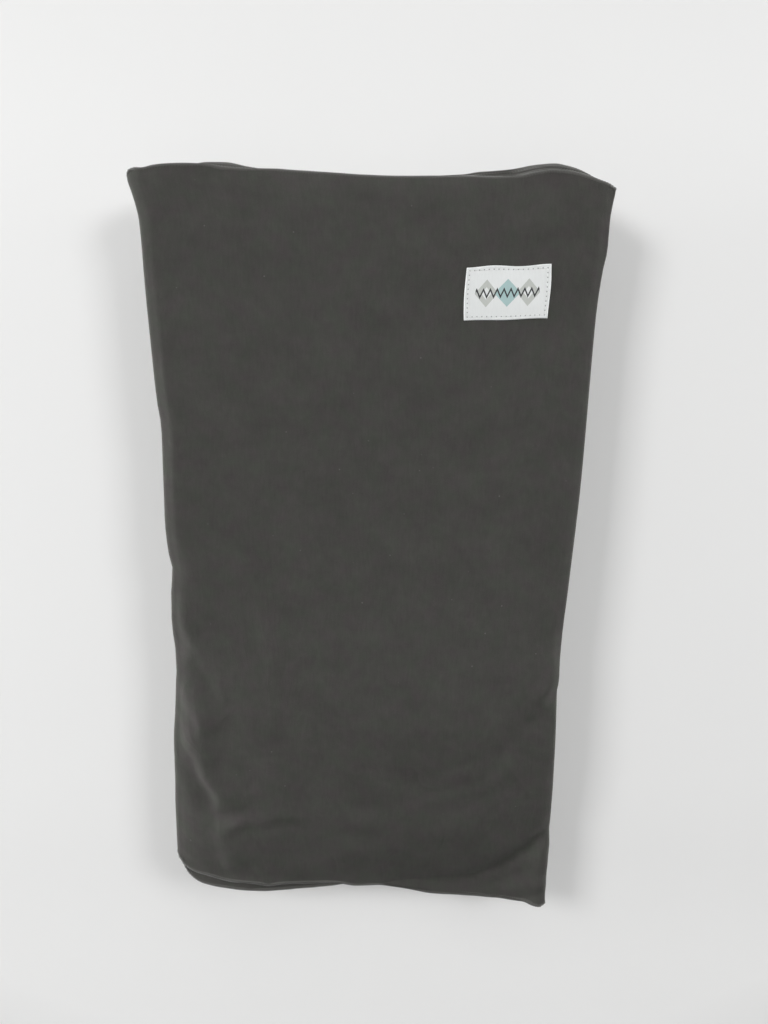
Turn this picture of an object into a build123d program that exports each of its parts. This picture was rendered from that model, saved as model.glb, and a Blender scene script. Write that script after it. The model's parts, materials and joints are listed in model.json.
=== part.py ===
from build123d import *
import os
from math import cos, radians, sin, tan

os.makedirs("parts", exist_ok=True)

# A stretchy baby wrap sling, folded for storage and hung by its upper edge.
# One long band of cotton jersey is halved at its labelled middle, and the two layers are
# then folded together in a zigzag of double leaves. Millimetres, +Z up, the labelled front
# towards -Y. The origin is on the upper edge, midway between the two hanging grips, in the
# middle of the folded stack.

# Cloth
cloth_thickness = 0.9      # one layer of jersey
layer_gap = 0.4            # air between neighbouring layers
double_leaves = 9          # each leaf is two layers deep; an odd number ends the tails on the left
wrap_width = 508.0         # between the two long edges, which run across the hung bundle

# Outline of the hung bundle: reach to the left and right of the grips' midpoint
waist_drop = 200.0         # height below the upper edge where the sides change slope
left_reach_top = 160.0
left_reach_waist = 147.5
left_reach_low = 150.0
right_reach_top = 151.0
right_reach_waist = 135.0
right_reach_low = 121.5
lower_edge_tilt = 3.0      # degrees that the lower edge falls towards the right

# Overlocked edges: a ridge of thread along each cut edge
overlock_proud = 0.1       # how far the thread stands out from each face of the cloth
overlock_height = 1.2

# Tapered tails, which end on the last leaf, one longer than the other
long_tail_reach = 152.0    # end of the longer tail left of the origin, at the upper edge
tail_stagger = 120.0       # how much sooner the shorter tail ends
tail_taper = 40.0          # how much an end leans over the width of the wrap

# Woven label at the wrap's middle
label_width = 55.0
label_height = 34.0
label_thickness = 0.45
label_from_fold = 62.4     # label's centre from the closed end of the front leaf
label_drop = 80.3          # label's centre below the upper edge
label_tilt = 1.6           # degrees that its long edges rise to the right
label_lean = 1.8           # degrees that its short edges lean to the right
label_stitch_inset = 2.2

# Blank care tag on the longer tail
tag_width = 25.0
tag_height = 45.0
tag_thickness = 0.25
tag_from_end = 14.0        # clear cloth between the tail's end and the tag
tag_above_edge = 60.0      # the tag's lowest corner above the wrap's lower edge
tag_stitch_inset = 3.0

# Lockstitches
stitch_length = 2.4
stitch_width = 0.5
stitch_height = 0.25
stitch_pitch = 3.1

layer_count = 2 * double_leaves
layer_pitch = cloth_thickness + layer_gap
overlock_thickness = cloth_thickness + 2 * overlock_proud
stack_depth = (layer_count - 1) * layer_pitch + cloth_thickness
front_y = -stack_depth / 2
back_y = stack_depth / 2
turn_reach = 1.5 * layer_pitch + cloth_thickness / 2   # depth of the outer turn at a fold
below_z = -wrap_width - max(left_reach_top, right_reach_top)   # well below every edge


def layer_y(layer):
    """Middle of a layer, counted from the front."""
    return front_y + cloth_thickness / 2 + layer * layer_pitch


def side_x(side, z):
    """Edge of the bundle at height z, on the left (-1) or right (+1)."""
    if side < 0:
        top, waist, low = left_reach_top, left_reach_waist, left_reach_low
    else:
        top, waist, low = right_reach_top, right_reach_waist, right_reach_low
    if z > -waist_drop:
        return side * (waist + (top - waist) * (1 + z / waist_drop))
    return side * (waist + (low - waist) * (z + waist_drop) / (waist_drop - wrap_width))


def turn_x(side, z):
    """Line that the folds on one side turn about, at height z."""
    return side_x(side, z) - side * turn_reach


def lower_edge_z(x):
    """Height of the wrap's lower edge at x."""
    return -wrap_width - x * tan(radians(lower_edge_tilt))


def above_lower_edge(shape, height=0.0):
    """The part of a shape that is above the lower edge, or above a line parallel to it."""
    normal = (sin(radians(lower_edge_tilt)), 0, cos(radians(lower_edge_tilt)))
    cut = Plane(origin=(0, 0, lower_edge_z(0)), z_dir=normal).offset(height)
    return split(shape, bisect_by=cut, keep=Keep.TOP)


def plate(points, y, thickness):
    """A plate upright in the bundle, centred on y, from its outline as (x, z) pairs."""
    corners = [Vector(x, y + thickness / 2, z) for x, z in points]
    return Part() + extrude(make_face(Polyline(*corners, close=True)), amount=thickness, dir=(0, -1, 0))


def half_ring(side, low_y, high_y, thickness, z):
    """Section at height z of the turn that joins two layers at a fold."""
    x = turn_x(side, z)
    middle = (low_y + high_y) / 2
    outer = (high_y - low_y + thickness) / 2
    inner = outer - thickness
    edges = [
        ThreePointArc((x, middle - outer, z), (x + side * outer, middle, z), (x, middle + outer, z)),
        Line((x, middle + outer, z), (x, middle + inner, z)),
        ThreePointArc((x, middle + inner, z), (x + side * inner, middle, z), (x, middle - inner, z)),
        Line((x, middle - inner, z), (x, middle - outer, z)),
    ]
    return make_face(edges)


def fold_turns():
    """Each turn of the zigzag as its side and the two layers that it joins."""
    turns = [(1, 0, 1)]
    for leaf in range(double_leaves - 1):
        side = 1 if leaf % 2 else -1
        turns.append((side, 2 * leaf + 1, 2 * leaf + 2))
        turns.append((side, 2 * leaf, 2 * leaf + 3))
    return turns


def tail_end_x(tail, z):
    """End of a tail at height z: tail 0 is the longer, tail 1 lies behind it."""
    return -long_tail_reach + tail * tail_stagger - z / wrap_width * tail_taper


def tail_layer(tail):
    return layer_count - 2 + tail


def beyond_tail(tail):
    """The space on a tail's layer past its cut end."""
    outline = [
        (tail_end_x(tail, 0), 0),
        (tail_end_x(tail, below_z), below_z),
        (2 * side_x(-1, 0), below_z),
        (2 * side_x(-1, 0), 0),
    ]
    return plate(outline, layer_y(tail_layer(tail)), layer_pitch)


def folded_band(low_z, high_z, thickness):
    """A stretch of the folded band between two heights, cut off at its tapered ends."""
    levels = sorted({low_z, min(max(-waist_drop, low_z), high_z), high_z})
    outline = [(turn_x(-1, z), z) for z in levels] + [(turn_x(1, z), z) for z in reversed(levels)]
    band = Part() + [plate(outline, layer_y(layer), thickness) for layer in range(layer_count)]
    turns = []
    for side, near, far in fold_turns():
        sections = [half_ring(side, layer_y(near), layer_y(far), thickness, z) for z in levels]
        turns += [loft(pair, ruled=True) for pair in zip(sections, sections[1:])]
    band += turns
    return band - [beyond_tail(0), beyond_tail(1)]


def wrap_cloth():
    band = folded_band(below_z, -overlock_height, cloth_thickness)
    return above_lower_edge(band, overlock_height)


def upper_edge_overlock():
    return folded_band(-overlock_height, 0, overlock_thickness)


def lower_edge_overlock():
    band = above_lower_edge(folded_band(below_z, -waist_drop, overlock_thickness))
    return band - above_lower_edge(band, overlock_height)


def tail_end_overlock(tail):
    """The ridge of thread along a tail's tapered end."""
    outline = [
        (tail_end_x(tail, 0), 0),
        (tail_end_x(tail, below_z), below_z),
        (tail_end_x(tail, below_z) - overlock_height, below_z),
        (tail_end_x(tail, 0) - overlock_height, 0),
    ]
    return above_lower_edge(plate(outline, layer_y(tail_layer(tail)), overlock_thickness))


def label_point(across, up):
    """A place on the label, from its own two directions, as an (x, z) pair."""
    centre_x = side_x(1, -label_drop) - label_from_fold
    x = centre_x + across * cos(radians(label_tilt)) + up * sin(radians(label_lean))
    z = -label_drop + across * sin(radians(label_tilt)) + up * cos(radians(label_lean))
    return x, z


def tag_point(across, up):
    """A place on the care tag, measured from its lower left corner."""
    corner_z = lower_edge_z(-long_tail_reach) + tag_above_edge
    left_x = tail_end_x(0, corner_z) + tag_from_end
    return left_x + across, corner_z + up


def corners(width, height):
    """Corners of a rectangle about its own centre."""
    x, z = width / 2, height / 2
    return [(-x, -z), (x, -z), (x, z), (-x, z)]


def stitch_row(start, end, face_y, outward):
    """Lockstitches along the line from start to end, standing on a face of the cloth or label."""
    line = Vector(end[0] - start[0], 0, end[1] - start[1])
    count = max(1, round(line.length / stitch_pitch))
    stitches = []
    for number in range(count):
        place = Vector(start[0], face_y, start[1]) + line * ((number + 0.5) / count)
        face = Plane(origin=place, x_dir=line.normalized(), z_dir=(0, outward, 0))
        stitches.append(extrude(face * SlotOverall(stitch_length, stitch_width), amount=stitch_height))
    return stitches


def centre_label():
    outline = [label_point(*corner) for corner in corners(label_width, label_height)]
    return plate(outline, front_y - label_thickness / 2, label_thickness)


def label_stitching():
    inset = corners(label_width - 2 * label_stitch_inset, label_height - 2 * label_stitch_inset)
    points = [label_point(*corner) for corner in inset]
    stitches = []
    for start, end in zip(points, points[1:] + points[:1]):
        stitches += stitch_row(start, end, front_y - label_thickness, -1)
    return Compound(children=stitches)


def tag_face_y():
    """Back of the longer tail, which the care tag lies on."""
    return layer_y(tail_layer(0)) + cloth_thickness / 2


def care_tag():
    outline = [
        tag_point(0, 0),
        tag_point(tag_width, 0),
        tag_point(tag_width, tag_height),
        tag_point(0, tag_height),
    ]
    return plate(outline, tag_face_y() + tag_thickness / 2, tag_thickness)


def care_tag_stitching():
    height = tag_height - tag_stitch_inset
    start = tag_point(tag_stitch_inset, height)
    end = tag_point(tag_width - tag_stitch_inset, height)
    return Compound(children=stitch_row(start, end, tag_face_y() + tag_thickness, 1))


export_step(wrap_cloth(), "parts/wrap_cloth.step")
export_step(upper_edge_overlock(), "parts/upper_edge_overlock.step")
export_step(lower_edge_overlock(), "parts/lower_edge_overlock.step")
export_step(tail_end_overlock(0), "parts/long_tail_overlock.step")
export_step(tail_end_overlock(1), "parts/short_tail_overlock.step")
export_step(centre_label(), "parts/centre_label.step")
export_step(label_stitching(), "parts/label_stitching.step")
export_step(care_tag(), "parts/care_tag.step")
export_step(care_tag_stitching(), "parts/care_tag_stitching.step")
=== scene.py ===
import json
import math

import bmesh
import bpy
import numpy as np
from bpy.props import FloatProperty, FloatVectorProperty, IntProperty, PointerProperty
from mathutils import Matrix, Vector


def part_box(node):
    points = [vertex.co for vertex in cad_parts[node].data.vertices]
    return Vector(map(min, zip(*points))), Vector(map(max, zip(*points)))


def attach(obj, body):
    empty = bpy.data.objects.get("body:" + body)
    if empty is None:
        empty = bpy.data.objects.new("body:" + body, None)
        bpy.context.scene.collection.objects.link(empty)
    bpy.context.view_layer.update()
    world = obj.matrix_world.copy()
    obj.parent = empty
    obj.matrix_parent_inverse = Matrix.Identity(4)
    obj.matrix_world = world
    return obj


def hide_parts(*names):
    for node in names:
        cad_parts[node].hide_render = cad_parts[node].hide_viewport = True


bl_info = {
    "name": "Folded Wrap Sling",
    "version": (1, 0, 0),
    "blender": (4, 5, 0),
    "location": "3D View > Sidebar > Wrap",
    "description": "A stretchy wrap sling, folded in a zigzag and hung by its upper edge",
    "category": "Add Mesh",
}

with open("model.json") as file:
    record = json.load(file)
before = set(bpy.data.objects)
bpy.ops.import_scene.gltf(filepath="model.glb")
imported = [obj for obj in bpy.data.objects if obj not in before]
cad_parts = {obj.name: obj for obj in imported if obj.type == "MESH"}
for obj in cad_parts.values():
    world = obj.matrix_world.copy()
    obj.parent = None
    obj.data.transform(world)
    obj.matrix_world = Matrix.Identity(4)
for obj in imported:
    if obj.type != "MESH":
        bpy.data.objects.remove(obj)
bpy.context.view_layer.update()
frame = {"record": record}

MM = 0.001

# One end of the cloth goes through the layers in this order, counted from the front. It turns
# back at the right after the first run, at the left after the second, and so on.
ROUTE = (16, 15, 12, 11, 8, 7, 4, 3, 0, 1, 2, 5, 6, 9, 10, 13, 14, 17)
LAYERS = len(ROUTE)

WRAP_WIDTH = 508.0     # millimetres between the two long edges, which run across the bundle
FLAT_LENGTH = 4.95     # metres from one tapered end to the other
TIGHT_PITCH = 0.80     # millimetres between the middles of layers that lie on each other
MEAN_PITCH = 1.6       # the same, averaged over the depth of the bundle
FRONT_TURN = 1.7       # millimetres that the turn next to the front reaches beyond its start
OUTER_TURN = 3.3       # reach of a turn that goes round another one
INNER_TURN = 1.2       # reach of a turn that has another one round it
PRESSED_FRONT = 9.4    # millimetres from the bundle's middle to its front where a grip presses
PRESSED_BACK = 8.4     # and to its back
BEAD_INSET = 0.9       # millimetres from a cut edge to the middle of its bead of thread
FOLD_ZONE = 34.0       # millimetres from a fold within which its turns shape the layers
EDGE_Z = -3.0          # height, in millimetres, at which the upper edge's ends are read

STAGE_MIDDLE = Vector((0.0, 0.0, -0.25))   # the middle of the bundle, in metres
PAINTED_FALLOFF_START = 0.70      # metres from the origin to where painted shade starts to darken the stage's paint
PAINTED_FALLOFF_LENGTH = 1.6      # metres over which it goes on darkening

LABEL_THICKNESS = 0.35     # millimetres
TAG_THICKNESS = 0.25
LABEL_THREAD_AT = 0.16     # millimetres that the thread's middle stands off the label's middle
TAG_THREAD_AT = 0.12       # and off the tag's

# How far the folds reach at each height: (height, distance from the middle), in millimetres
LEFT_FOLDS = (
    (-530, -150.3), (-500, -150.8), (-477, -151.5), (-441, -151.1), (-418, -150.3), (-394, -150.1),
    (-372, -148.3), (-350, -146.7), (-338, -145.6), (-327, -145.8), (-305, -147.3), (-284, -146.5),
    (-264, -144.8), (-252, -147.2), (-231, -148.2), (-200, -148.2), (-169, -148.1), (-149, -150.4),
    (-110, -152.8), (-72, -154.9), (-45, -155.9), (-34, -156.6), (-25, -158.3), (-17, -160.5),
    (-8, -163.0), (10, -162.6),
)
RIGHT_FOLDS = (
    (-530, 122.0), (-500, 122.9), (-465, 124.0), (-430, 123.8), (-394, 123.6), (-360, 123.5),
    (-351, 123.5), (-345, 124.3), (-327, 125.2), (-305, 126.6), (-284, 128.7), (-252, 131.6),
    (-210, 135.1), (-169, 137.3), (-130, 139.1), (-91, 141.4), (-65, 144.6), (-53, 146.9), (-35, 147.6),
    (-25, 148.9), (-17, 150.4), (10, 151.5),
)
# Upper and lower edges of the front layer and of the layers behind it: (distance, height)
TOP_FRONT = (
    (-163, -6.6), (-161.5, -3.7), (-157, -2.6), (-153, -2.8), (-145, -1.2), (-133, 0.0), (-122, 0.3),
    (-112, 0.0), (-100, -2.0), (-88, -2.4), (-70, -2.4), (-56, -3.3), (-33, -4.7), (-10, -6.2),
    (13, -6.9), (36, -6.8), (55, -6.7), (75, -7.4), (88, -7.2), (99, -5.1), (110, -3.6), (121, -4.8),
    (127, -6.0), (133, -7.8), (140, -10.4), (145, -12.2), (150, -14.7), (151.5, -16.9),
)
TOP_BACK = (
    (-163, -5.8), (-158, -3.8), (-150, -1.9), (-135, -0.3), (-122, 1.0), (-112, 2.7), (-100, 2.5),
    (-88, 0.4), (-75, -2.1), (-56, -3.9), (-33, -5.5), (0, -6.6), (30, -6.4), (45, -5.8), (55, -4.6),
    (65, -3.0), (82, -2.1), (92, -0.6), (101, 0.8), (112, 1.6), (119, 0.6), (125, -1.0), (130, -3.0),
    (136, -6.8), (145, -12.2), (152, -16.0),
)
LOW_FRONT = (
    (-150.5, -478.0), (-148.3, -484.0), (-145, -488.7), (-141, -491.9), (-136, -494.3), (-130, -495.5),
    (-125, -496.6), (-117, -499.0), (-109, -500.5), (-99, -500.9), (-90, -501.4), (-83, -503.2),
    (-76, -502.2), (-68, -501.5), (-34, -503.4), (-20, -507.7), (-3, -510.3), (10, -513.8),
    (26, -517.4), (38, -519.8), (60, -521.1), (79, -522.0), (97, -522.7), (106, -523.0), (114, -524.5),
    (118.5, -524.8), (123, -522.1),
)
LOW_BACK = (
    (-150.5, -484.3), (-148, -492.8), (-142.5, -501.8), (-132, -507.5), (-121, -509.0), (-95, -510.6),
    (-72, -509.4), (-53, -508.3), (-35, -507.2), (-15, -505.3), (0, -505.5), (26, -508.5), (60, -512.0),
    (97, -515.5), (115, -518.0), (121.5, -516.5),
)
# How far the outermost layers stand from the middle of the bundle at each height
FRONT_DEPTH = (
    (-530, 17.0), (-470, 18.2), (-430, 19.2), (-400, 19.9), (-375, 20.1), (-350, 19.3), (-320, 17.6),
    (-290, 16.0), (-250, 14.9), (-200, 14.0), (-100, 12.8),
    (-50, 12.0), (-20, 11.2), (-8, 10.4), (5, 9.4),
)
# The front's lower part slopes back to a line near its edge: (distance, depth) and (distance, height)
TUCK_DEPTH = (
    (-155, 1.5), (-110, 3.0), (-60, 6.0), (-20, 9.5), (20, 14.5), (50, 15.0), (85, 13.5), (105, 9.5),
    (121, 4.5),
)
TUCK_LINE = (
    (-150, -500), (-60, -508), (-10, -511), (20, -510), (37, -509), (58, -508), (79, -504),
    (92, -498), (109, -482), (122, -462),
)
BACK_DEPTH = (
    (-520, 14.5), (-500, 15.6), (-470, 16.4), (-400, 16.0), (-300, 14.6), (-200, 13.2), (-100, 11.8),
    (-40, 11.0), (-10, 10.2), (5, 9.4),
)
# Creases of the front layer: path, height of the ridge, its width on the left and on the right of
# the path's direction, and depth of the furrow on the right
FRONT_CREASES = (
    (((-145, -362), (-142, -373), (-136, -387), (-129, -405), (-123, -421), (-116.5, -436),
      (-106, -449)), 1.6, 12, 4.6, 1.1),
    (((-149, -395), (-145.5, -407), (-141, -418.5), (-135.5, -434), (-127, -450)), -0.5, 4, 4, 0.0),
    (((-148, -322), (-142, -342), (-137, -358), (-131, -373), (-124, -392)), 1.9, 12, 5.0, 0.3),
    (((-148, -293), (-142, -307), (-134, -318), (-122, -334), (-107, -353), (-93, -368), (-76, -394)),
     0.5, 10, 4, 0.1),
    (((-83, -298), (-80, -318), (-77, -330), (-74, -349), (-74, -370), (-77, -390)), 0.4, 4, 2.6, 0.2),
    (((-122, -390), (-108, -396), (-87, -400), (-69, -405), (-50, -409), (-30, -417)), -0.7, 5, 5, 0.0),
    (((-120, -459), (-103, -452), (-80, -449), (-66, -448), (-46, -446)), 0.8, 6, 3, 0.6),
    (((-50, -455), (-30, -451), (-5, -453), (18, -460)), 0.7, 5, 7, 0.0),
    (((-34, -451), (-10, -440), (19, -425), (46, -411), (66, -404)), -0.7, 8, 6, 0.0),
    (((44, -418), (68, -401), (84, -389), (98, -378), (108, -366)), -0.8, 6, 5, 0.0),
    (((74, -418), (79, -410), (85, -401), (93, -388), (104, -376), (118, -361), (132, -341)),
     -1.2, 6, 4.5, 0.0),
    (((-20, -463), (10, -447), (38, -434), (62, -427)), 0.5, 7, 9, 0.0),
    (((46, -433), (68, -426), (83, -417), (92, -408), (103, -394)), 0.9, 3.5, 6, 0.0),
    (((2, -440), (35, -430), (60, -422), (77, -413)), -0.7, 4, 4, 0.0),
    (((106, -364), (114, -353), (120, -344), (127, -330)), 1.7, 6, 4, 0.0),
    (((-149, -270), (-143, -280), (-139, -288), (-133, -300)), 1.4, 6, 5, 0.2),
    (((-146, -294), (-141, -300), (-135.5, -307), (-129.5, -317)), 1.3, 5.5, 3.5, 0.2),
    (((-150, -224), (-143, -237), (-134, -249)), 1.0, 7, 5, 0.2),
    (((-96, -492), (-40, -484), (10, -472), (60, -456), (100, -425)), 0.9, 12, 8, 0.4),
    (((133, -443), (120, -458), (110.5, -473), (98, -488), (84, -498), (66, -504.5), (40, -508), (15, -510)),
     -1.2, 4, 2.6, 0.0),
    (((130, -452), (124, -465), (115.5, -480), (106, -490), (96, -499), (86, -505.5), (66, -509)),
     1.3, 3.2, 3.0, 0.0),
    (((134, -496), (119, -496), (107, -498), (96, -505), (88, -510), (76, -512), (60, -509)),
     -0.8, 3.5, 3.5, 0.0),
    (((130, -504), (121, -507), (110, -509), (99, -514), (90, -519)), 1.0, 2.4, 2.8, 0.0),
    (((100, -524), (109, -519), (117, -515), (128, -513)), -0.9, 2.4, 2.4, 0.0),
    (((-113, -444), (-111, -462), (-109, -480), (-106, -492)), 1.6, 18, 12, 0.0),
    (((121.5, -462), (119, -480), (118, -498), (118.5, -514)), 1.2, 5, 6, 0.0),
    (((120, -22), (125, -47), (129, -80), (131, -125)), -0.5, 3.5, 5, 0.0),
    (((96, -296), (94, -316), (92, -336)), 0.4, 2.5, 2.5, 0.0),
    (((-126, -34), (-112, -42), (-92, -38)), 0.6, 9, 9, 0.0),
    (((94, -36), (110, -42), (128, -36)), 0.6, 9, 9, 0.0),
)
BACK_CREASES = (
    (((120, -40), (96, -160), (70, -300)), 1.6, 14, 9, 0.6),
    (((-60, -60), (-72, -190), (-66, -330)), 1.3, 9, 12, 0.5),
    (((110, -380), (60, -430), (10, -452)), 1.8, 12, 7, 0.9),
    (((-130, -350), (-100, -420), (-50, -462)), 1.5, 7, 12, 0.6),
    (((20, -120), (10, -200), (16, -280)), 0.8, 14, 8, 0.0),
)


def smooth(t):
    """From 0 to 1 with a soft start and end."""
    t = np.clip(t, 0.0, 1.0)
    return t * t * (3 - 2 * t)


def ramp(value, start, end):
    """From 0 at start to 1 at end, softly, and held beyond them."""
    return smooth((value - start) / (end - start))


def taper(distance, length):
    """1 at distance 0, and down to 0 at length in a straight line."""
    return np.clip(1 - distance / length, 0, 1)


def between(start, end, share):
    """The value at a share of the way from start to end."""
    return start + (end - start) * share


def bell(distance, width):
    """1 at distance 0, and less and less on both sides of it."""
    return np.exp(-((distance / width) ** 2))


def decay(distance, length):
    """1 for distances up to 0, and less and less beyond."""
    return np.exp(-np.clip(distance, 0, None) / length)


def through(points, at):
    """A smooth line through given points, without overshoot, read at many places."""
    knots, values = np.array(sorted(points), float).T
    steps = np.diff(knots)
    slopes = np.diff(values) / steps
    tangents = np.zeros(len(values))
    product = slopes[:-1] * slopes[1:]
    total = slopes[:-1] + slopes[1:]
    agree = product > 0
    tangents[1:-1][agree] = 2 * product[agree] / total[agree]
    tangents[0] = slopes[0]
    tangents[-1] = slopes[-1]
    at = np.clip(at, knots[0], knots[-1])
    k = np.clip(np.searchsorted(knots, at, side="right") - 1, 0, len(steps) - 1)
    t = (at - knots[k]) / steps[k]
    rise = between(values[k], values[k + 1], smooth(t))
    bend = steps[k] * (tangents[k] * t * (1 - t) ** 2 - tangents[k + 1] * t * t * (1 - t))
    return rise + bend


def crease(x, z, path, height, wide_left, wide_right, furrow):
    """Height of one crease over the cloth, fading out at both ends of its path."""
    corners = np.array(path, float)
    spans = np.linalg.norm(np.diff(corners, axis=0), axis=1)
    starts = np.concatenate([[0.0], np.cumsum(spans)])
    nearest = np.full(x.shape, 1e9)
    side = np.ones(x.shape)
    along = np.zeros(x.shape)
    for k, span in enumerate(spans):
        x0, z0 = corners[k]
        dx, dz = (corners[k + 1] - corners[k]) / span
        t = np.clip((x - x0) * dx + (z - z0) * dz, 0, span)
        away_x = x - x0 - t * dx
        away_z = z - z0 - t * dz
        far = np.hypot(away_x, away_z)
        closer = far < nearest
        nearest = np.where(closer, far, nearest)
        side = np.where(closer, np.sign(dx * away_z - dz * away_x), side)
        along = np.where(closer, (starts[k] + t) / starts[-1], along)
    wide = np.where(side > 0, wide_left, wide_right)
    trough = furrow * bell(nearest - 2.0 * wide_right, 1.2 * wide_right)
    shape = height * bell(nearest, wide) - np.where(side > 0, 0.0, trough)
    return shape * ramp(along, 0, 0.22) * ramp(along, 1, 0.78)


def relief(creases, x, z):
    """All the creases of one face together, a little wavy and uneven along their length."""
    total = np.zeros(x.shape)
    wavy_x = x + 1.5 * np.sin(z / 8.3 + x / 21.0) + 1.1 * np.sin(z / 4.6 - x / 13.0 + 1.0)
    wavy_z = z + 1.5 * np.sin(x / 9.1 + 0.6) + 1.1 * np.sin(x / 5.3 + z / 17.0)
    for path, height, wide_left, wide_right, furrow in creases:
        total = total + crease(wavy_x, wavy_z, path, height, wide_left, wide_right, furrow)
    uneven = 1 + 0.28 * np.sin(x / 6.7 + z / 11.0) * np.sin(z / 7.9 - x / 15.0)
    return total * uneven + crumples(x, z)


def crumples(x, z):
    """Small irregular dents in the lower third, stronger in some places than in others."""
    bent = z + 6.0 * np.sin(x / 23.0 + 0.4) + 3.0 * np.sin(x / 9.7 - z / 31.0)
    large = np.sin(x / 8.9 + bent / 14.0) * np.sin(bent / 7.6 - x / 19.0 + 1.2)
    small = np.sin(x / 4.1 - bent / 5.9 + 0.7) * np.sin(bent / 4.4 + x / 6.3)
    patchy = 0.6 + 0.4 * np.sin(x / 27.0 + 0.8) * np.sin(z / 24.0 + x / 60.0)
    return (0.44 * large + 0.12 * small) * patchy * ramp(-z, 300, 410)


def swell(x, z):
    """Slow unevenness of hanging cloth, from -1 to 1."""
    waves = (
        (61.0, 97.0, 0.0), (43.0, -71.0, 1.7), (-88.0, 53.0, 3.1), (29.0, 120.0, 4.4), (25.0, -38.0, 5.3)
    )
    total = 0.0
    for across, down, start in waves:
        total = total + np.sin(x / across + z / down + start)
    return total / len(waves)


def grips():
    """Where the two hanging grips press on the bundle, in millimetres."""
    mounts = {mount["name"]: mount["pos_m"][0] / MM for mount in frame["record"]["mounts"]}
    return mounts["left_grip"], mounts["right_grip"]


def grip_press(x, z):
    """From 0 to 1, how much a grip presses the layers together."""
    press = np.zeros(np.shape(x))
    for middle in grips():
        across = 1 - ramp(np.abs(x - middle), 3, 11.5)
        down = 1 - ramp(-z, 9, 20)
        press = np.maximum(press, across * down)
    return press


def grip_bulge(x, z):
    """Cloth that swells out under the grips."""
    bulge = 0.0
    for middle in grips():
        bulge = bulge + bell(x - middle, 19.0) * bell(z + 38.0, 12.0)
    return bulge


def ears(x, z):
    """From 0 to 1, how much the upper corners beyond the grips spread open."""
    return ramp(np.abs(x), 122, 142) * ramp(z, -60, -10)


def stand_off(x, z):
    """Air between the front layer and the stack behind it, where it is rumpled."""
    near_edge = decay(z - through(LOW_FRONT, x), 16.0)
    return 2.6 * ramp(-z, 300, 370) * (1 - 0.95 * near_edge)


def side_rounding(x, z, deep_left, deep_right):
    """How far a face falls back as it rounds towards the folds, and more gently lower down."""
    inward = x - through(LEFT_FOLDS, z)
    wide_left = 9.5 + 2.5 * bell(z + 165.0, 60.0) + 7.0 * bell(z + 298.0, 28.0)
    wide_left = wide_left + 14.5 * ramp(-z, 218, 278)
    left = taper(inward, wide_left)
    right = taper(through(RIGHT_FOLDS, z) - x, 9.0)
    slanted = 8.0 * ramp(-z, 255, 365) * taper(inward, 70.0) ** 1.35
    return deep_left * left ** 3 + deep_right * right ** 3 + slanted


def front_reach(x, z):
    """How far the front layer stands forward of the bundle's middle, without its creases."""
    line = through(TUCK_LINE, x)
    start = -448.0 + 28.0 * ramp(x, 80, 120)
    share = np.clip((start - z) / (start - line), 0, 1)
    flared = 1 - decay(line - z, 9.0)
    tucked = through(TUCK_DEPTH, x) * share ** 1.8 - 2.5 * flared * ramp(x, 0, 40)
    leaning = 5.0 * ramp(x, -65, 45) * ramp(-z, 370, 465)
    plump = 5.2 - 2.4 * ramp(-z, 325, 405) + 1.6 * bell(z + 165.0, 60.0)
    rounded = 1.8 + 1.2 * ramp(z, -140, -70)
    rounded = rounded + 2.4 * ramp(-z, 450, 485) + 2.4 * bell(z + 324.0, 20.0)
    reach = through(FRONT_DEPTH, z) - side_rounding(x, z, plump, rounded) - tucked - leaning
    reach = reach + 1.6 * ears(x, z) + 0.5 * grip_bulge(x, z)
    return between(reach, PRESSED_FRONT, grip_press(x, z))


def back_reach(x, z):
    """How far the rearmost layer stands behind the bundle's middle, without its creases."""
    dome = 1.6 * np.clip(np.abs((x + 8.0) / 145.0), 0, 1.1) ** 4
    reach = through(BACK_DEPTH, z) - dome + 2.0 * ears(x, z) + grip_bulge(x, z)
    return between(reach, PRESSED_BACK, grip_press(x, z))


def gap_shares(x, z):
    """How the spare depth of the bundle is shared among the gaps between its layers."""
    near_left = 1 - ramp(x - through(LEFT_FOLDS, z), 0, FOLD_ZONE)
    near_right = 1 - ramp(through(RIGHT_FOLDS, z) - x, 0, FOLD_ZONE)
    shares = []
    for gap in range(LAYERS - 1):
        wave = np.sin(x / (31.0 + 3 * (gap * 5 % 7)) + 2.3 * gap + z / (85.0 + 11 * (gap * 3 % 5)))
        share = (0.35 + 0.5 * (1 + wave)) ** 2
        left_shut = gap % 4 == 3 or gap == LAYERS - 2
        for near, shut in ((near_left, left_shut), (near_right, gap % 4 == 1)):
            if gap:
                share = between(share, 0.06 if shut else 1.0, near)
        shares.append(share)
    return np.array(shares)


def upper_roll(layer, x, z):
    """How far the upper edges roll backwards, the front one the most, and less beyond the grips."""
    amount = 3.4 - 3.0 * ramp(np.abs(x + 4), 62, 102)
    return amount * decay(through(TOP_FRONT, x) - z, 6.0) * (1 - layer / (LAYERS - 1))


def lower_flip(layer, x, z):
    """How far the lower edges of the front layers turn forwards."""
    low = z - low_z(layer, x)
    if layer:
        return 1.5 * decay(low, 4.0) * ramp(layer, 4.5, 1.5)
    return (0.5 + 0.8 * ramp(-x, 0, 45)) * decay(low, 3.0)


def corner_roll(layer, x, z):
    """How far the layers behind the front leaf fall back towards their lower left corner."""
    near_fold = taper(x - through(LEFT_FOLDS, z), FOLD_ZONE)
    return 3.6 * near_fold ** 2 * decay(z - low_z(layer, x), 9.0) * ramp(layer, 1, 2)


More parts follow.
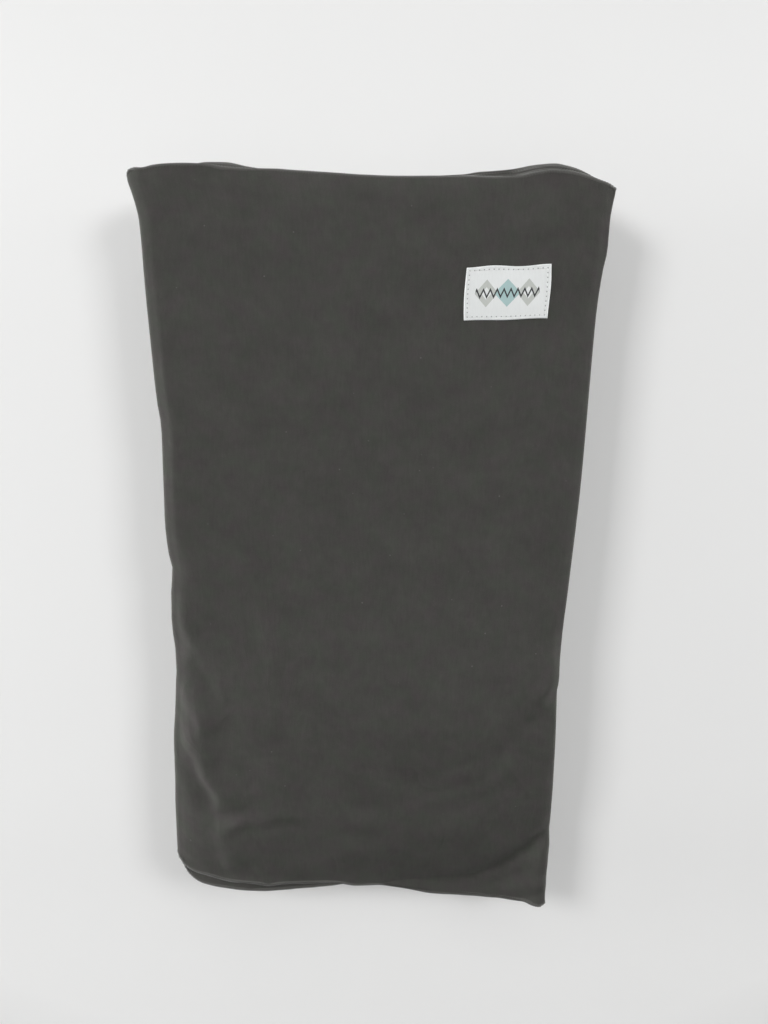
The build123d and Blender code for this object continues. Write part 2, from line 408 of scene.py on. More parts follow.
def layer_y(layer, x, z):
    """Middle of a layer's cloth, in millimetres behind the middle of the bundle."""
    front = front_reach(x, z)
    back = back_reach(x, z)
    free = stand_off(x, z)
    depth = front + back - free
    tight = np.minimum(TIGHT_PITCH, depth / (LAYERS - 1))
    shares = gap_shares(x, z)
    gaps = between(tight, depth / (LAYERS - 1), shares / shares.mean(axis=0))
    y = -front + gaps[:layer].sum(axis=0) + upper_roll(layer, x, z) - lower_flip(layer, x, z)
    if layer:
        y = y + free + corner_roll(layer, x, z) * (1 - layer / (LAYERS - 1))
    else:
        y = y - relief(FRONT_CREASES, x, z) - 0.45 * swell(x, z) * ramp(-z, 0, 60)
    if layer >= LAYERS - 2:
        end = tail_end(LAYERS - 1 - layer, z)
        y = y + relief(BACK_CREASES, x, z) + 1.6 * decay(x - end, 5.0)
    return y


def tail_end(tail, z):
    """Where a tapered tail ends at height z: tail 1 is the longer, tail 0 the rearmost one."""
    low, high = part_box("long_tail_overlock" if tail else "short_tail_overlock")
    share = (z * MM - low.z) / (high.z - low.z)
    return between(high.x, low.x, share) / MM


def top_z(layer, x):
    """Height of a layer's upper edge."""
    share = ramp(layer, 0, 5)
    height = between(through(TOP_FRONT, x), through(TOP_BACK, x), share)
    return height - share * 0.7 * (1 + np.sin(2.4 * layer + x / 33.0))


def low_z(layer, x):
    """Height of a layer's lower edge."""
    share = ramp(layer, 0.6, 2.2)
    height = between(through(LOW_FRONT, x), through(LOW_BACK, x), share)
    return height + share * 0.8 * (1 + np.sin(1.9 * layer + x / 41.0)) * ramp(layer, 2, 4)


def turn_layers(turn):
    """The two layers that a turn joins, in the order in which the cloth passes them."""
    return ROUTE[turn], ROUTE[turn + 1]


def turn_size(turn):
    """How far a turn reaches beyond the line where it starts."""
    near, far = sorted(turn_layers(turn))
    if near == 0 and far == 1:
        return FRONT_TURN
    return OUTER_TURN if far - near > 1 else INNER_TURN


def turn_start(turn, z):
    """The upright line at which the two layers leave the flat and turn round."""
    near, far = sorted(turn_layers(turn))
    to_right = turn % 2 == 0
    side = 1 if to_right else -1
    edge = through(RIGHT_FOLDS if to_right else LEFT_FOLDS, z)
    number = (near + 2) // 4 if to_right else near // 4
    inside = 0.4
    if far - near == 1 and near:
        inside += 1.0
    if number:
        inside += 1.3 + 0.9 * (1 + np.sin(z / 37.0 + 2.1 * number + side))
    return edge - side * (inside + turn_size(turn))


def run_ends(run, z):
    """Left and right end of a run at height z."""
    before = turn_start(run - 1, z) if run else tail_end(1, z)
    after = turn_start(run, z) if run < LAYERS - 1 else tail_end(0, z)
    return (before, after) if run % 2 == 0 else (after, before)


def leg_lengths():
    """Lengths of the runs and turns in the order in which the cloth passes them."""
    middle = np.array([-WRAP_WIDTH / 2])
    lengths = []
    for run in range(LAYERS):
        left, right = run_ends(run, middle)
        lengths.append(float((right - left)[0]))
        if run < LAYERS - 1:
            near, far = turn_layers(run)
            half_deep = MEAN_PITCH / 2 * abs(far - near)
            lengths.append(math.pi * math.hypot(half_deep, turn_size(run)) / math.sqrt(2))
    return np.array(lengths)


LEGS = leg_lengths()
LEG_STARTS = np.concatenate([[0.0], np.cumsum(LEGS)[:-1]])
CLOTH_LENGTH = float(LEGS.sum())


def run_point(run, t, w):
    """Points on a run at a share t of its length and w millimetres from the upper edge."""
    layer = ROUTE[run]
    across = t if run % 2 == 0 else 1 - t
    top = top_z(layer, between(*run_ends(run, np.full(t.shape, EDGE_Z)), across))
    low = low_z(layer, between(*run_ends(run, np.full(t.shape, -WRAP_WIDTH)), across))
    z = between(top, low, w / WRAP_WIDTH)
    x = between(*run_ends(run, z), across)
    return np.stack([x, layer_y(layer, x, z), z], axis=-1)


def turn_point(turn, t, w):
    """Points on the half turn that joins two layers at a fold."""
    near, far = turn_layers(turn)
    side = 1 if turn % 2 == 0 else -1
    out = side * turn_size(turn) * np.sin(math.pi * t)
    heights = []
    for layer in (near, far):
        top = top_z(layer, turn_start(turn, np.full(t.shape, EDGE_Z)) + out)
        low = low_z(layer, turn_start(turn, np.full(t.shape, -WRAP_WIDTH)) + out)
        heights.append(between(top, low, w / WRAP_WIDTH))
    share = (1 - np.cos(math.pi * t)) / 2
    z = between(*heights, share)
    start = turn_start(turn, z)
    y = between(layer_y(near, start, z), layer_y(far, start, z), share)
    return np.stack([start + out, y, z], axis=-1)


def place(s, w):
    """Where the folded cloth carries a point that lies flat at s along it and w across it."""
    s, w = np.broadcast_arrays(np.asarray(s, float), np.asarray(w, float))
    leg = np.clip(np.searchsorted(LEG_STARTS, s, side="right") - 1, 0, len(LEGS) - 1)
    points = np.zeros(s.shape + (3,))
    for k in range(len(LEGS)):
        here = leg == k
        if here.any():
            t = (s[here] - LEG_STARTS[k]) / LEGS[k]
            shaped = run_point if k % 2 == 0 else turn_point
            points[here] = shaped(k // 2, t, w[here])
    return points * MM


def surface_frame(s, w):
    """Points of the cloth with its directions along, across and out of it, each of length 1."""
    step = 0.2
    inside = np.clip(s, step, CLOTH_LENGTH - step)
    along = place(inside + step, w) - place(inside - step, w)
    down = place(s, np.clip(w + step, 0, WRAP_WIDTH)) - place(s, np.clip(w - step, 0, WRAP_WIDTH))
    along = along / np.linalg.norm(along, axis=-1, keepdims=True)
    out = np.cross(along, down)
    out = out / np.linalg.norm(out, axis=-1, keepdims=True)
    return place(s, w), along, np.cross(out, along), out


# Mesh helpers


def grid_mesh(name, columns, rows, shaped, flat=None, joined=False):
    """An object from a flat grid whose points shaped(column, row) puts in place.

    flat(column, row) gives the two flat coordinates kept as its UV map. joined closes the grid
    into a tube along its rows and fills the tube's ends.
    """
    bm = bmesh.new()
    bmesh.ops.create_grid(bm, x_segments=columns, y_segments=rows, size=0.5)
    grid = np.array([vert.co[:2] for vert in bm.verts])
    column = np.rint((grid[:, 0] + 0.5) * columns).astype(int)
    row = np.rint((grid[:, 1] + 0.5) * rows).astype(int)
    points = shaped(column, row)
    if flat is not None:
        layer = bm.loops.layers.uv.new("flat")
        spots = np.stack(flat(column, row), axis=-1)
        for face in bm.faces:
            for loop in face.loops:
                loop[layer].uv = spots[loop.vert.index]
    for vert in bm.verts:
        vert.co = points[vert.index]
    if joined:
        bmesh.ops.remove_doubles(bm, verts=bm.verts[:], dist=1e-7)
        rims = [edge for edge in bm.edges if edge.is_boundary]
        bmesh.ops.holes_fill(bm, edges=rims, sides=rows)
        bmesh.ops.recalc_face_normals(bm, faces=bm.faces[:])
    return finish_mesh(name, bm)


def finish_mesh(name, bm):
    """A smooth-shaded object in the scene from a bmesh."""
    mesh = bpy.data.meshes.new(name)
    bm.to_mesh(mesh)
    bm.free()
    mesh.shade_smooth()
    piece = bpy.data.objects.new(name, mesh)
    bpy.context.scene.collection.objects.link(piece)
    return piece


def add_piece(piece, material, slot, *nodes):
    """Gives a piece its material, hangs it on the root body and hides the parts it stands for."""
    piece.data.materials.append(material)
    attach(piece, "root")
    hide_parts(*nodes)
    return piece


def thicken(piece, thickness):
    """Gives a sheet its thickness, half on each side."""
    wall = piece.modifiers.new("wall", "SOLIDIFY")
    wall.thickness = thickness
    wall.offset = 0.0
    wall.use_rim = True


# Material helpers


def add_node(tree, kind, settings=None, inputs=None):
    """A node with its settings, and its inputs set or linked by name or number."""
    made = tree.nodes.new(kind)
    for name, value in (settings or {}).items():
        setattr(made, name, value)
    for name, value in (inputs or {}).items():
        if isinstance(value, bpy.types.NodeSocket):
            tree.links.new(value, made.inputs[name])
        else:
            made.inputs[name].default_value = value
    return made


def sums(operation, *values):
    """The output of a Math node, in the tree of the sockets among its values."""
    tree = next(value.id_data for value in values if isinstance(value, bpy.types.NodeSocket))
    return add_node(tree, "ShaderNodeMath", {"operation": operation}, dict(enumerate(values))).outputs[0]


def clamped(value, low, high):
    """A number held between two limits."""
    return sums("MINIMUM", sums("MAXIMUM", value, low), high)


def parts(tree, vector):
    """The three numbers of a vector."""
    return add_node(tree, "ShaderNodeSeparateXYZ", inputs={0: vector}).outputs


def multiplied(tree, first, second):
    """Two vectors or colours, multiplied."""
    settings = {"operation": "MULTIPLY"}
    return add_node(tree, "ShaderNodeVectorMath", settings, {0: first, 1: second}).outputs[0]


def scaled(tree, vector, factor):
    """A vector or colour times a number."""
    inputs = {0: vector, "Scale": factor}
    return add_node(tree, "ShaderNodeVectorMath", {"operation": "SCALE"}, inputs).outputs[0]


def mixed(tree, mask, under, over):
    """One colour laid over another where the mask is 1."""
    inputs = {"Factor": mask, 6: under, 7: over}
    return add_node(tree, "ShaderNodeMix", {"data_type": "RGBA"}, inputs).outputs[2]


def noise(tree, vector, **inputs):
    """A noise from 0 to 1; keywords set its sockets."""
    return add_node(tree, "ShaderNodeTexNoise", inputs={"Vector": vector, **inputs}).outputs[0]


def shared_group(name, given, made):
    """Turns a function that wires up a node group into one that hands out that group, built once.

    given and made name the group's inputs and outputs and say what kind each of them is.
    """

    def wrap(wire_up):
        def hand_out():
            tree = bpy.data.node_groups.get(name)
            if tree is None:
                tree = bpy.data.node_groups.new(name, "ShaderNodeTree")
                for sockets, in_out in ((given, "INPUT"), (made, "OUTPUT")):
                    for label, kind in sockets.items():
                        kind = "NodeSocket" + kind
                        tree.interface.new_socket(name=label, in_out=in_out, socket_type=kind)
                start = tree.nodes.new("NodeGroupInput").outputs
                results = wire_up(tree, *[start[label] for label in given])
                end = tree.nodes.new("NodeGroupOutput").inputs
                for label, result in zip(made, results):
                    tree.links.new(result, end[label])
            return tree

        return hand_out

    return wrap


@shared_group(
    "knit_loops",
    {"Flat": "Vector", "Wale": "Float", "Course": "Float"},
    {"Height": "Float", "Painted Shade": "Float"},
)
def knit_group(tree, flat, wale, course):
    """Columns of slanted loops, as on the face of single jersey, with painted shade that darkens the colour
    where the loops lie low.
    """
    across, along = parts(tree, flat)[:2]
    ridge = sums("MULTIPLY", sums("PINGPONG", sums("DIVIDE", across, wale), 0.5), 2.0)
    slant = sums("MULTIPLY_ADD", ridge, 0.5, sums("DIVIDE", along, course))
    wave = sums("SINE", sums("MULTIPLY", slant, 2 * math.pi))
    loop = sums("MULTIPLY_ADD", wave, 0.2, 0.8)
    height = sums("MULTIPLY", sums("SQRT", ridge), loop)
    return height, sums("MULTIPLY_ADD", height, 0.16, 0.90)


@shared_group(
    "woven_threads", {"Flat": "Vector", "Pitch": "Float"}, {"Height": "Float", "Painted Shade": "Float"}
)
def weave_group(tree, flat, pitch):
    """Threads that pass over and under each other, with painted shade that darkens the colour where they
    dip.
    """
    across, along = parts(tree, flat)[:2]
    turns = [
        sums("SINE", sums("MULTIPLY", sums("DIVIDE", axis, pitch), math.pi)) for axis in (across, along)
    ]
    height = sums("MULTIPLY_ADD", sums("MULTIPLY", *turns), 0.5, 0.5)
    return height, sums("MULTIPLY_ADD", height, 0.08, 0.95)


@shared_group(
    "dye_mottle",
    {"Flat": "Vector", "Colour": "Color", "Grain": "Vector", "Amount": "Float"},
    {"Colour": "Color", "Value": "Float"},
)
def mottle_group(tree, flat, colour, grain, amount):
    """A colour that varies a little over the surface, as dyed yarn does."""
    value = noise(tree, multiplied(tree, flat, grain), Scale=1.0, Detail=3.0, Roughness=0.6)
    change = sums("MULTIPLY", amount, 2.0)
    factor = sums("MULTIPLY_ADD", sums("SUBTRACT", value, 0.5), change, 1.0)
    return scaled(tree, colour, factor), value


@shared_group(
    "dye_drift",
    {"Flat": "Vector", "Colour": "Color", "Rosy": "Color", "Olive": "Color", "Scale": "Float"},
    {"Colour": "Color"},
)
def drift_group(tree, flat, colour, rosy, olive, scale):
    """A colour whose tint wanders between a rosier and a more olive one."""
    value = noise(tree, flat, Scale=scale, Detail=3.0)
    tint = mixed(tree, sums("MULTIPLY_ADD", value, 2.4, -0.7), rosy, olive)
    return [multiplied(tree, colour, tint)]


@shared_group(
    "lint_specks",
    {"Flat": "Vector", "Cells": "Float", "Size": "Float", "Rarity": "Float"},
    {"Mask": "Float"},
)
def lint_group(tree, flat, cells, size, rarity):
    """Sparse small specks of lint and pilling."""
    found = add_node(tree, "ShaderNodeTexVoronoi", inputs={"Vector": flat, "Scale": cells}).outputs
    kept = sums("GREATER_THAN", parts(tree, found["Color"])[0], rarity)
    near = sums("SUBTRACT", 1.0, sums("DIVIDE", found["Distance"], size))
    return [sums("MULTIPLY", sums("MAXIMUM", near, 0.0), kept)]


@shared_group("fine_rumples", {"Flat": "Vector", "Grain": "Vector"}, {"Height": "Float"})
def rumple_group(tree, flat, grain):
    """Height of fine soft creases too small for the mesh."""
    value = noise(tree, multiplied(tree, flat, grain), Scale=1.0, Detail=2.0, Distortion=0.6)
    folded = sums("ABSOLUTE", sums("MULTIPLY_ADD", value, 2.0, -1.0))
    return [sums("POWER", sums("SUBTRACT", 1.0, folded), 3.0)]


def use_group(tree, group, **inputs):
    """A group placed in a material, with its own values."""
    return add_node(tree, "ShaderNodeGroup", {"node_tree": group}, inputs).outputs


def mottled(tree, flat, colour, grain, amount):
    """The dye mottle over a colour."""
    return use_group(tree, mottle_group(), Flat=flat, Colour=colour, Grain=grain, Amount=amount)


def new_material(name, **shader):
    """A material with a Principled shader; keywords set its sockets, with _ for a space."""
    material = bpy.data.materials.new(name)
    material.use_nodes = True
    tree = material.node_tree
    tree.nodes.clear()
    principled = tree.nodes.new("ShaderNodeBsdfPrincipled")
    for socket, value in shader.items():
        principled.inputs[socket.replace("_", " ")].default_value = value
    output = tree.nodes.new("ShaderNodeOutputMaterial")
    tree.links.new(principled.outputs[0], output.inputs["Surface"])
    return material, tree, principled


def flat_map(tree):
    """Places on the flat cloth or tape, in metres."""
    return add_node(tree, "ShaderNodeUVMap", {"uv_map": "flat"}).outputs[0]


def object_map(tree):
    """Places in the object's own frame, in metres."""
    return add_node(tree, "ShaderNodeTexCoord").outputs["Object"]


def bump(tree, height, distance, strength, normal=None):
    """The normal of a fine relief, on top of another relief when its normal is given."""
    inputs = {"Height": height, "Distance": distance, "Strength": strength}
    if normal is not None:
        inputs["Normal"] = normal
    return add_node(tree, "ShaderNodeBump", inputs=inputs).outputs[0]


def rgba(colour):
    """A colour that is not see-through."""
    return (*colour, 1.0)


def jersey_material(values):
    """Brushed cotton jersey: knit columns with painted shade between the loops, uneven dye, a little lint
    and a soft bloom.
    """
    material, tree, shader = new_material(
        "brushed_jersey", Roughness=0.92, Specular_IOR_Level=0.25,
        Sheen_Weight=0.22, Sheen_Roughness=0.3, Sheen_Tint=(0.85, 0.88, 0.82, 1.0),
    )
    flat = flat_map(tree)
    knit = use_group(tree, knit_group(), Flat=flat, Wale=values.wale, Course=values.course)
    dyed = use_group(
        tree, drift_group(), Flat=flat, Colour=rgba(values.colour), Scale=85.0,
        Rosy=(1.05, 0.957, 1.01, 1.0), Olive=(0.965, 1.03, 0.94, 1.0),
    )
    # From clouds to patches, streaks and single fibres
    for grain, amount in (((34, 40), 0.22), ((160, 130), 0.13), ((650, 90), 0.13), ((1500, 1100), 0.16)):
        dyed = mottled(tree, flat, dyed["Colour"], (*grain, 1), amount)
    # Painted shade: the colour is darker where the knit loops lie low.
    shaded = scaled(tree, dyed["Colour"], knit["Painted Shade"])
    lint = use_group(tree, lint_group(), Flat=flat, Cells=110.0, Size=0.075, Rarity=0.76)
    base = mixed(tree, sums("MULTIPLY", lint["Mask"], 0.6), shaded, (0.20, 0.20, 0.19, 1.0))
    tree.links.new(base, shader.inputs["Base Color"])
    rumples = use_group(tree, rumple_group(), Flat=flat, Grain=(38, 26, 1))
    normal = bump(tree, rumples["Height"], 0.0004, 0.5)
    normal = bump(tree, dyed["Value"], 0.00025, 0.5, normal)
    tree.links.new(bump(tree, knit["Height"], 0.0001, 0.6, normal), shader.inputs["Normal"])
    return material


def thread_material(name, colour, grain=2600.0):
    """Spun thread: fine fibres and a slightly uneven colour."""
    material, tree, shader = new_material(
        name, Roughness=0.88, Specular_IOR_Level=0.3, Sheen_Weight=0.3, Sheen_Roughness=0.5
    )
    fibres = mottled(tree, object_map(tree), rgba(colour), (grain, grain, grain), 0.28)
    tree.links.new(fibres["Colour"], shader.inputs["Base Color"])
    tree.links.new(bump(tree, fibres["Value"], 0.00015, 0.6), shader.inputs["Normal"])
    return material


# Sizes and colours a user may change


def length_property(name, description, default):
    """A setting in metres."""
    return FloatProperty(name=name, description=description, default=default, unit="LENGTH")


def angle_property(name, description, degrees):
    """A setting that is an angle."""
    default = math.radians(degrees)
    return FloatProperty(name=name, description=description, default=default, subtype="ANGLE")


def count_property(name, description, default):
    """A setting that is a number of things."""
    return IntProperty(name=name, description=description, default=default, min=1)


def colour_property(name, description, default):
    """A setting that is a colour."""
    return FloatVectorProperty(
        name=name, description=description, default=default, subtype="COLOR", size=3
    )


class ClothProperties(bpy.types.PropertyGroup):
    """Settings of the jersey"""

    thickness: length_property("Cloth thickness", "Thickness of one layer of jersey", 0.00075)
    wale: length_property("Wale spacing", "Distance between columns of loops", 0.0008)
    course: length_property("Course spacing", "Distance between rows of loops", 0.0006)
    colour: colour_property("Colour", "Warm charcoal of the dyed jersey", (0.057, 0.057, 0.053))


class EdgeProperties(bpy.types.PropertyGroup):
    """Settings of the overlocked edges"""

    bead_height: length_property("Bead height", "Height of the overlocked edge across the cloth", 0.0025)
    bead_thickness: length_property("Bead thickness", "Thickness of the overlocked edge", 0.00115)
    stitch_pitch: length_property("Stitch pitch", "Distance between the slanted loops of thread", 0.0016)
    colour: colour_property("Colour", "Charcoal of the overlock thread", (0.080, 0.079, 0.073))


class LabelProperties(bpy.types.PropertyGroup):
    """Settings of the woven label"""

    width: length_property("Width", "Width of the woven label", 0.055)
    height: length_property("Height", "Height of the woven label", 0.034)
    tilt: angle_property("Tilt", "How much its long edges rise to the right", 1.6)
    lean: angle_property("Lean", "How much its short edges lean to the right", 1.8)
    inset: length_property("Stitch inset", "Distance of the stitching from the label's edges", 0.0022)
    stitches_long: count_property("Stitches on a long side", "Stitches along each long side", 16)
    stitches_short: count_property("Stitches on a short side", "Stitches along each short side", 10)
    ground: colour_property("Ground", "Off-white of the label's ground weave", (0.83, 0.85, 0.845))
    pale: colour_property("Pale motif", "Pale grey of the outer lozenges", (0.56, 0.58, 0.55))
    aqua: colour_property("Aqua motif", "Pale aqua of the middle lozenge", (0.42, 0.58, 0.58))
    dark: colour_property("Dark motif", "Near black of the zigzag line", (0.035, 0.037, 0.040))


class TagProperties(bpy.types.PropertyGroup):
    """Settings of the care tag"""

    width: length_property("Width", "Width of the tag", 0.025)
    height: length_property("Height", "Height of the tag", 0.045)
    stitches: count_property("Stitches", "Stitches that hold it", 6)
    colour: colour_property("Colour", "White of the satin tape", (0.78, 0.78, 0.76))


class StageProperties(bpy.types.PropertyGroup):
    """Settings of the wall, floor and camera"""

    wall_gap: length_property("Wall gap", "Distance from the bundle's middle to the wall", 0.040)
    floor_drop: length_property("Floor drop", "How far the floor lies below the upper edge", 0.70)
    wall_colour: colour_property("Wall colour", "Pale grey white of the wall", (0.86, 0.86, 0.855))
    floor_colour: colour_property("Floor colour", "Pale grey white of the floor", (0.54, 0.54, 0.535))
    camera_distance: length_property(
        "Camera distance", "Distance from the bundle's middle to the camera", 0.550
    )
    camera_pitch: angle_property("Camera pitch", "How far the camera looks down", 9.5)
    lens: FloatProperty(
        name="Lens", description="Focal length in millimetres", default=28.125, unit="CAMERA"
    )


# Operators


def spread(start, end, count):
    """Evenly spaced places from start up to, but not with, end."""
    return np.linspace(start, end, count + 1)[:-1]


def cloth_columns():
    """Places along the cloth that get a column of points: close together on the front layer and
    round the folds, wider apart on the layers inside."""
    stations = []
    for k, (start, length) in enumerate(zip(LEG_STARTS, LEGS)):
        layer = ROUTE[k // 2]
        if k % 2:
            shares = spread(0, 1, 6)
        elif layer == 0:
            shares = [*spread(0, 0.22, 22), *spread(0.22, 0.78, 40), *spread(0.78, 1, 20)]
        elif layer == LAYERS - 1:
            shares = spread(0, 1, 26)
        elif layer == LAYERS - 2:
            shares = spread(0, 1, 38)
        else:
            cuts = (-148, -130, -114, -100, -75, -35, 10, 55, 88, 103, 114, 130)
            left, right = (float(end[0]) for end in run_ends(k // 2, np.array([EDGE_Z])))
            shares = [(x - left) / (right - left) for x in cuts]
            shares = [0.0] + [share for share in shares if 0.02 < share < 0.98]
            if (k // 2) % 2:
                shares = [0.0] + sorted(1 - share for share in shares[1:])
        stations += [start + length * share for share in shares]
    return np.array(stations + [CLOTH_LENGTH])


def cloth_rows():
    """Distances from the upper edge that get a row of points."""
    near_top = [0, 0.8, 1.8, 3.2, 5, 7.5, 10.5, 14, 18, 22, 26, 30, 35, 41]
    middle = list(spread(49, 325, 28))
    low = list(spread(325, 500, 50))
    return np.array(near_top + middle + low + [500, 502.4, 504.4, 506, 507.2, WRAP_WIDTH])


class WRAP_OT_cloth(bpy.types.Operator):
    """Folds the flat cloth into the hanging bundle"""

    bl_idname = "wrap.cloth"
    bl_label = "Wrap cloth"

    def execute(self, context):
        values = context.scene.wrap_cloth
        stations = cloth_columns()
        rows = cloth_rows()
        scale = FLAT_LENGTH / CLOTH_LENGTH
        piece = grid_mesh(
            "wrap_cloth_jersey",
            len(stations) - 1,
            len(rows) - 1,
            lambda column, row: place(stations[column], rows[row]),
            lambda column, row: (stations[column] * scale, rows[row] * MM),
        )
        thicken(piece, values.thickness)
        add_piece(piece, jersey_material(values), "jersey", "wrap_cloth")
        return {"FINISHED"}


class WRAP_OT_edge_thread(bpy.types.Operator):
    """Runs a bead of overlock thread along both long edges and both tapered ends"""

    bl_idname = "wrap.edge_thread"
    bl_label = "Overlocked edges"

    def execute(self, context):
        values = context.scene.wrap_edge
        material = thread_material("overlock_thread", values.colour)
        pitch = values.stitch_pitch / MM
        half_high = values.bead_height / MM / 2
        half_thick = values.bead_thickness / MM / 2
        sides = 6
        ends = (
            ("upper_edge_thread", "upper_edge_overlock", CLOTH_LENGTH, BEAD_INSET, True),
            ("lower_edge_thread", "lower_edge_overlock", CLOTH_LENGTH, WRAP_WIDTH - BEAD_INSET, True),
            ("long_tail_thread", "long_tail_overlock", WRAP_WIDTH, BEAD_INSET, False),
            ("short_tail_thread", "short_tail_overlock", WRAP_WIDTH, CLOTH_LENGTH - BEAD_INSET, False),
        )
        for name, node, total, inset, lengthwise in ends:
            rows = int(total / pitch * 4)
            run = np.linspace(0, total, rows + 1)
            edge = np.full(rows + 1, inset)
            if lengthwise:
                points, _, wide, out = surface_frame(run, edge)
            else:
                points, wide, _, out = surface_frame(edge, run)
            lumps = 1 + 0.10 * np.sin(run / 3.7 + inset) * np.sin(run / 11.3)

            def shaped(column, row):
                angle = 2 * math.pi * row / sides
                groove = 1 + 0.17 * np.cos(2 * math.pi * run[column] / pitch + angle)
                size = (groove * lumps[column] * MM)[:, None]
                offset = out[column] * (np.cos(angle) * half_thick)[:, None]
                offset = offset + wide[column] * (np.sin(angle) * half_high)[:, None]
                return points[column] + offset * size

            piece = grid_mesh(name, rows, sides, shaped, joined=True)
            add_piece(piece, material, "edge_thread", node)
        return {"FINISHED"}


def label_spot(values, across, up):
    """A place on the label, from its own two directions, as x and z in millimetres."""
    low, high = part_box("centre_label")
    middle = (low + high) / 2
    x = middle.x / MM + across * math.cos(values.tilt) + up * math.sin(values.lean)
    z = middle.z / MM + across * math.sin(values.tilt) + up * math.cos(values.lean)
    return x, z


def stitch_line(values):
    """Half the width and half the height of the label's rectangle of stitches, in metres."""
    return values.width / 2 - values.inset, values.height / 2 - values.inset


def label_rise(values, across, up):
    """How far the label stands off the cloth: held down at its stitches, proud between them."""
    half_width, half_height = (half / MM for half in stitch_line(values))
    beyond = np.maximum(np.abs(across) - half_width, np.abs(up) - half_height)
    pillow = 0.22 * ramp(-beyond, 0, 7)
    flap = 0.16 * ramp(beyond, 0, 2) * (1 + 0.5 * np.sin(across / 3.4 + up / 5.0))
    pulled = 0.07 * np.exp(-((beyond / 0.9) ** 2))
    side = np.abs(up) - half_height > np.abs(across) - half_width
    step = np.where(side, 2 * half_width / values.stitches_long, 2 * half_height / values.stitches_short)
    phase = np.where(side, across + half_width, up + half_height) / step
    pucker = 0.08 * np.cos(2 * math.pi * phase) * np.exp(-((beyond / 1.4) ** 2))
    ripple = 0.10 * np.sin(across / 4.3 + 0.8) * np.sin(up / 5.1 + 0.3)
    return 0.62 + pillow + flap - pulled - pucker + ripple


def label_material(values):
    """Damask-woven label with three plain lozenges and a zigzag line."""
    material, tree, shader = new_material(
        "woven_label", Roughness=0.62, Specular_IOR_Level=0.35, Sheen_Weight=0.12, Sheen_Roughness=0.4
    )
    flat = flat_map(tree)
    across, up = parts(tree, flat)[:2]
    outer_middle = 0.0135      # metres from the label's middle to the middle of an outer lozenge
    outer_half_width = 0.0075
    inner_half_width = 0.0085
    half_height = 0.0088       # of every lozenge
    hollow = 0.45              # share of an outer lozenge that shows the ground
    stroke = 0.0022            # metres across in which the zigzag line goes once up or down
    slope = 2.2                # how steep its strokes are
    line_half_height = 0.0011
    line_reach = 0.0204        # metres from the label's middle to the ends of the line
    tall = sums("DIVIDE", sums("ABSOLUTE", up), half_height)

    def lozenge(middle, half_width):
        """Grows from 0 at the middle of a lozenge to 1 at its edge."""
        wide = sums("DIVIDE", sums("ABSOLUTE", sums("SUBTRACT", across, middle)), half_width)
        return sums("ADD", wide, tall)

    colour = rgba(values.ground)
    for middle in (-outer_middle, outer_middle):
        size = lozenge(middle, outer_half_width)
        ring = sums("MULTIPLY", sums("LESS_THAN", size, 1.0), sums("GREATER_THAN", size, hollow))
        colour = mixed(tree, ring, colour, rgba(values.pale))
    inner = sums("LESS_THAN", lozenge(0.0, inner_half_width), 1.0)
    colour = mixed(tree, inner, colour, rgba(values.aqua))
    zigzag = sums("MULTIPLY_ADD", sums("PINGPONG", across, stroke), slope, -slope * stroke / 2)
    on_line = sums("LESS_THAN", sums("ABSOLUTE", sums("SUBTRACT", up, zigzag)), line_half_height)
    in_reach = sums("LESS_THAN", sums("ABSOLUTE", across), line_reach)
    colour = mixed(tree, sums("MULTIPLY", on_line, in_reach), colour, rgba(values.dark))
    # Painted shade: dark dots at the needle holes, which the mesh does not have.
    hole_shade = sums("MULTIPLY", needle_hole_shade(values, across, up), 0.72)
    colour = mixed(tree, hole_shade, colour, (0.05, 0.05, 0.05, 1.0))
    weave = use_group(tree, weave_group(), Flat=flat, Pitch=0.00034)
    uneven = mottled(tree, flat, colour, (900, 160, 1), 0.05)
    # Painted shade: the colour is darker where the woven threads dip.
    shaded = scaled(tree, uneven["Colour"], weave["Painted Shade"])
    tree.links.new(shaded, shader.inputs["Base Color"])
    tree.links.new(bump(tree, weave["Height"], 0.00008, 0.5), shader.inputs["Normal"])
    return material


def needle_hole_shade(values, across, up):
    """Mask of dark dots at the needle holes at the ends of the label's stitches: painted shade in each hole,
    where the dark cloth behind also shows.
    """
    masks = []
    hole_half_length = 0.00055
    hole_half_height = 0.00050
    half_width, half_height = stitch_line(values)
    sides = (
        (across, up, half_width, half_height, values.stitches_long),
        (up, across, half_height, half_width, values.stitches_short),
    )
    for along, off, half_along, half_off, count in sides:
        step = 2 * half_along / count
        near = sums("PINGPONG", sums("ADD", along, half_along + step), step / 2)
        beside = sums("DIVIDE", near, hole_half_length)
        above = sums("SUBTRACT", sums("ABSOLUTE", off), half_off)
        above = sums("DIVIDE", above, hole_half_height)
        square = sums("ADD", sums("MULTIPLY", beside, beside), sums("MULTIPLY", above, above))
        on_side = sums("LESS_THAN", sums("ABSOLUTE", along), half_along + step / 4)
        round_hole = sums("SUBTRACT", 1.0, sums("MINIMUM", square, 1.0))
        masks.append(sums("MULTIPLY", round_hole, on_side))
    return sums("MAXIMUM", *masks)


def tape_piece(name, values, columns, rows, corner, surface):
    """A piece of woven tape, flat from its lower left corner on before surface(across, up) puts
    its points in place, all in millimetres."""
    wide = values.width / MM
    tall = values.height / MM

    def spots(column, row):
        return corner[0] + column / columns * wide, corner[1] + row / rows * tall

    def shaped(column, row):
        return np.stack(surface(*spots(column, row)), axis=-1) * MM

    def flat(column, row):
        return [spot * MM for spot in spots(column, row)]

    return grid_mesh(name, columns, rows, shaped, flat)


